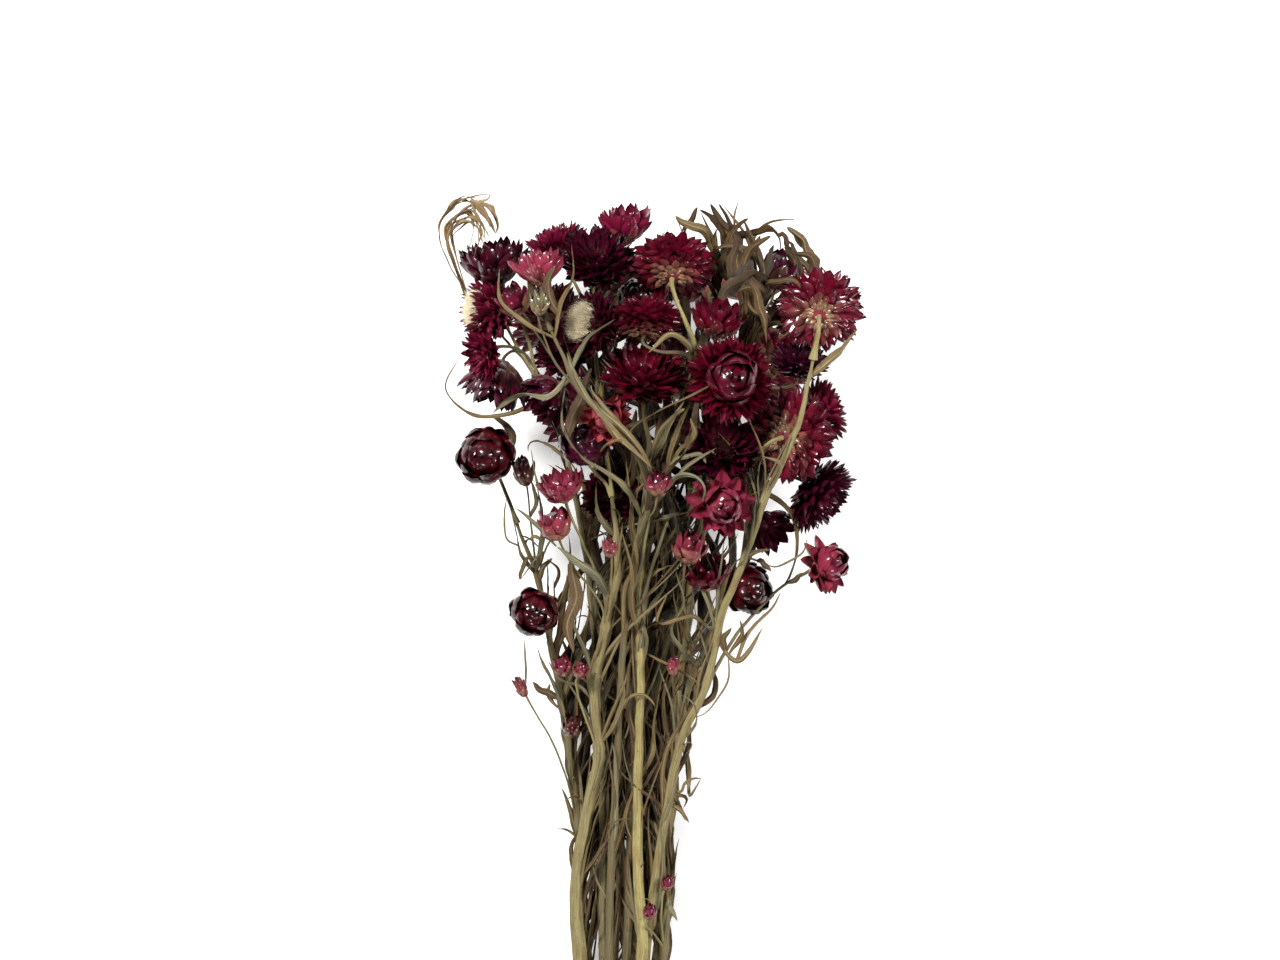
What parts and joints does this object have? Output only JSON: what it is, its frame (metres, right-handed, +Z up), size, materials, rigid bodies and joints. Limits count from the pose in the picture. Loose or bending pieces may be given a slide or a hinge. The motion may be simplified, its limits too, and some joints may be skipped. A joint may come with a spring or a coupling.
{
  "type": "dried strawflower bunch",
  "caption": "Tied bunch of dried strawflowers, lying on its back: papery crimson, maroon, magenta and rose heads on dry leafy stems held by a twine tie.",
  "frame": {"origin": "on the surface that the bunch lies on, under the middle of its width and length", "axes": "+Z up from the surface, +Y along the stems towards the flower heads, +X to the right"},
  "size_m": [0.2107, 0.5164, 0.103],
  "materials": {
    "maroon": "dry glossy bracts, near-black maroon",
    "crimson": "dry glossy bracts, dark crimson",
    "garnet": "dry glossy bracts, garnet red",
    "magenta": "dry glossy bracts, purple magenta",
    "plum": "dry glossy bracts, dark plum",
    "rose": "dry glossy bracts, rose pink",
    "stem": "dry ridged stems and curled leaves, olive tan",
    "twine": "rough natural twine"
  },
  "bodies": {
    "root": {"bloom_01": "maroon", "bloom_02": "rose", "bloom_03": "magenta", "bloom_05": "magenta", "bloom_06": "magenta", "bloom_07": "maroon", "bloom_08": "garnet", "bloom_10": "maroon", "bloom_11": "magenta", "bloom_12": "rose", "bloom_13": "crimson", "bloom_14": "maroon", "bloom_15": "plum", "bloom_16": "crimson", "bloom_17": "crimson", "bloom_18": "crimson", "bloom_19": "crimson", "bloom_20": "crimson", "bloom_21": "plum", "bloom_22": "maroon", "bloom_23": "plum", "bloom_24": "crimson", "bloom_25": "magenta", "bloom_26": "maroon", "bloom_27": "maroon", "bloom_28": "rose", "bloom_29": "garnet", "bloom_30": "crimson", "bloom_31": "rose", "bloom_32": "maroon", "bloom_33": "rose", "bloom_34": "plum", "bloom_35": "maroon", "bloom_36": "maroon", "bloom_37": "magenta", "bloom_38": "rose", "bloom_39": "rose", "bloom_41": "garnet", "bloom_46": "rose", "bloom_50": "maroon", "under_01": "crimson", "under_02": "maroon", "under_03": "rose", "under_04": "crimson", "under_05": "garnet", "under_06": "magenta", "under_07": "maroon", "stem_01": "stem", "stem_02": "stem", "stem_03": "stem", "stem_04": "stem", "stem_05": "stem", "stem_06": "stem", "stem_07": "stem", "stem_08": "stem", "stem_09": "stem", "stem_10": "stem", "stem_11": "stem", "stem_12": "stem", "tie": "twine"}
  },
  "joints": []
}
